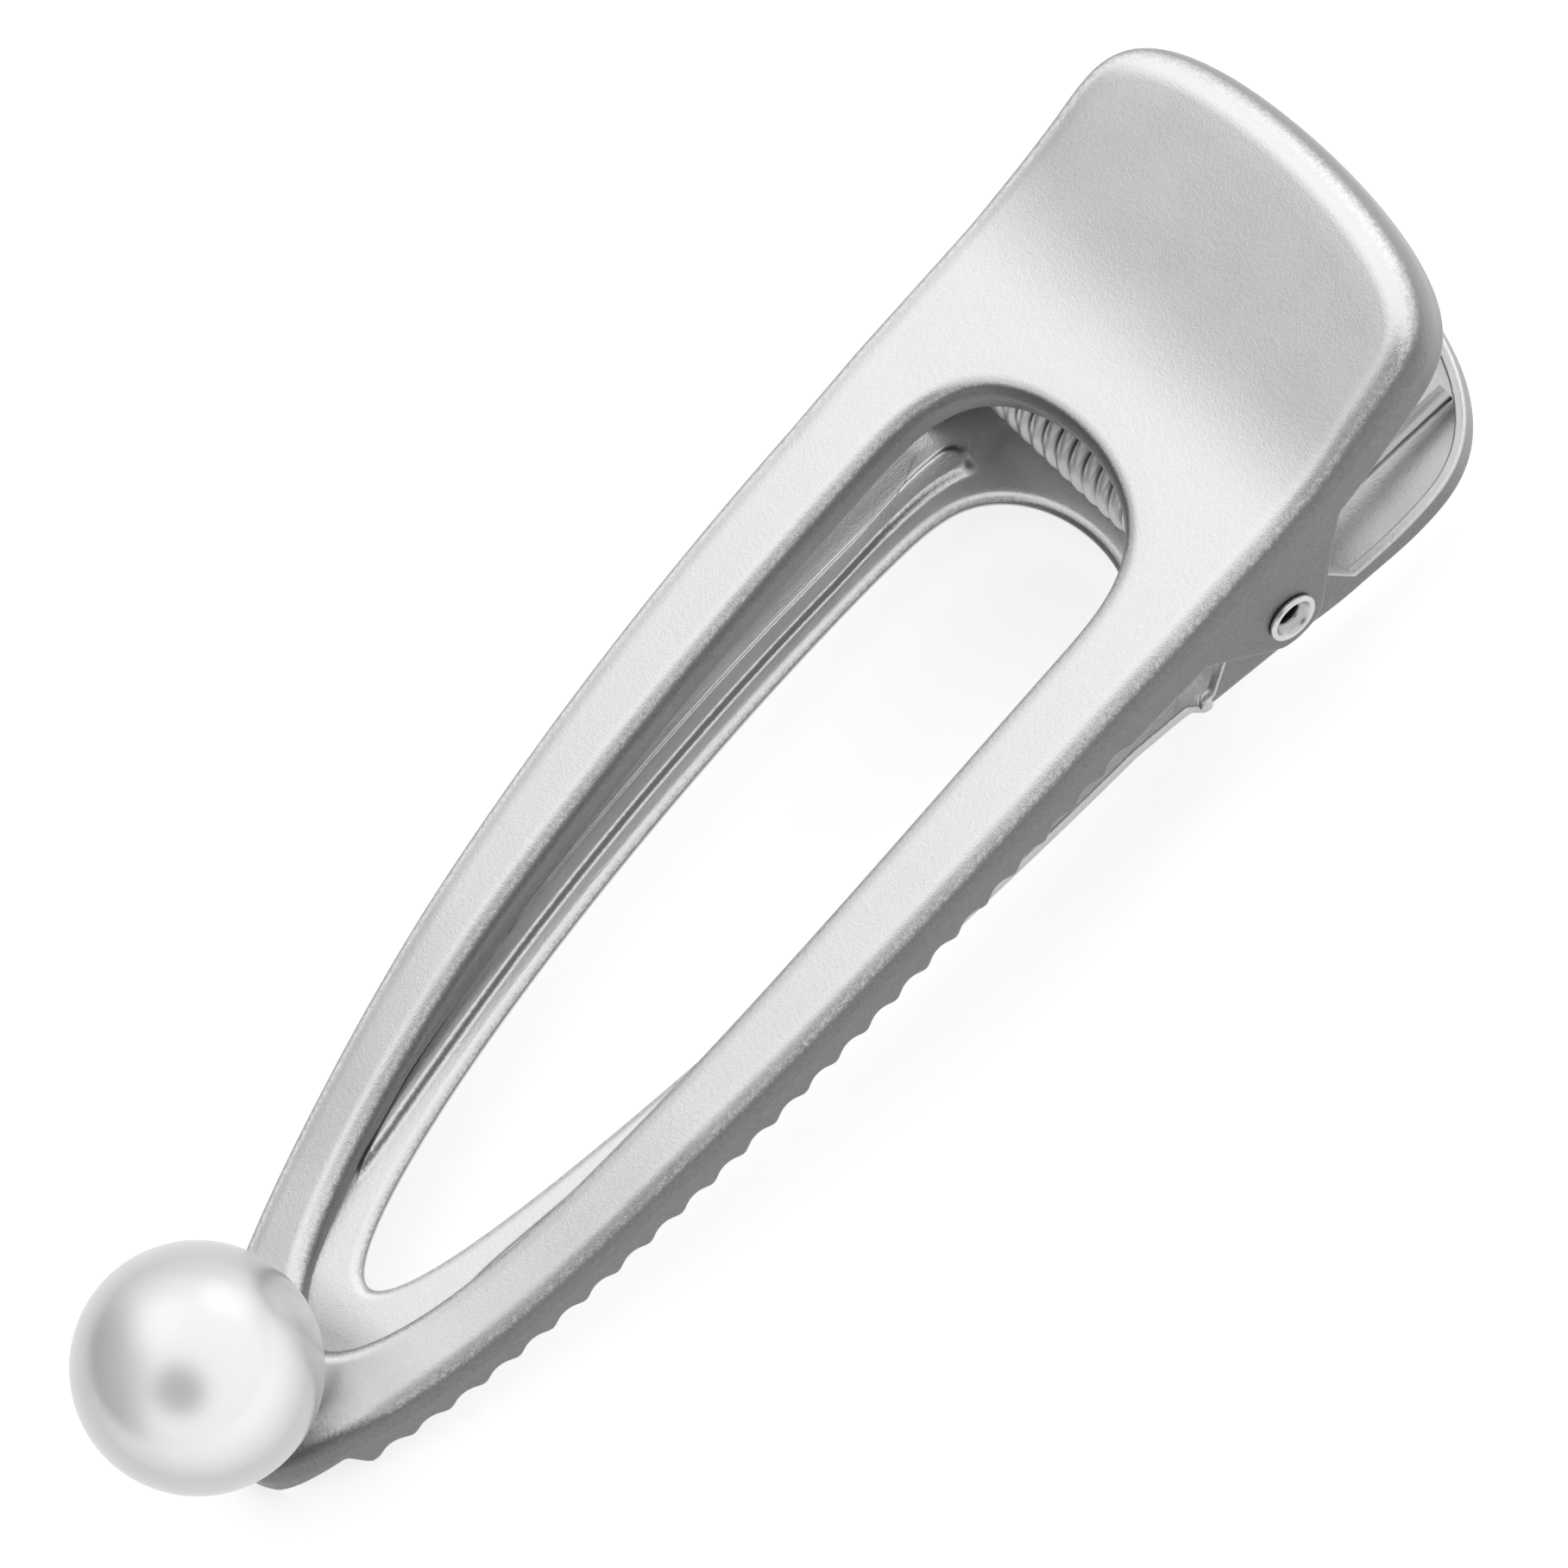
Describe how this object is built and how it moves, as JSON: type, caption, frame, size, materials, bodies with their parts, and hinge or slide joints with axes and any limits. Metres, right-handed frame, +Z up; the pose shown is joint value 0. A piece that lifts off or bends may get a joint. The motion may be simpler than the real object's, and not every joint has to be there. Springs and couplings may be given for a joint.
{
  "type": "hair clip",
  "caption": "Sprung metal hair clip with an open drop-shaped toothed jaw, a flat lower jaw, thumb levers on a hollow rivet and a round pearl on its nose",
  "frame": {"origin": "centre of the bounding box in X, hinge centre plane in Y, lowest point of the clip in Z", "axes": "+X from the nose to the thumb levers, Y along the hinge rivet, +Z up, away from the lower jaw"},
  "size_m": [0.069, 0.0208, 0.0142],
  "materials": {
    "upper_jaw": "satin",
    "lower_jaw": "satin",
    "hinge_rivet": "polished",
    "torsion_spring": "satin",
    "pearl_cup": "satin",
    "pearl_bead": "pearl gloss"
  },
  "bodies": {
    "lower": {"lower_jaw": "lower_jaw", "hinge_rivet": "hinge_rivet", "torsion_spring": "torsion_spring"},
    "upper": {"upper_jaw": "upper_jaw", "pearl_cup": "pearl_cup", "pearl_bead": "pearl_bead"}
  },
  "joints": [
    {"name": "hinge", "type": "hinge", "parent": "lower", "child": "upper", "pos_m": [0.02054, 0, 0.00466], "axis": [0, 1, 0], "range_deg": [0, 28], "stiffness_Nm_per_rad": 0.02, "springref_deg": -28.65, "deforming": ["torsion_spring"]}
  ]
}
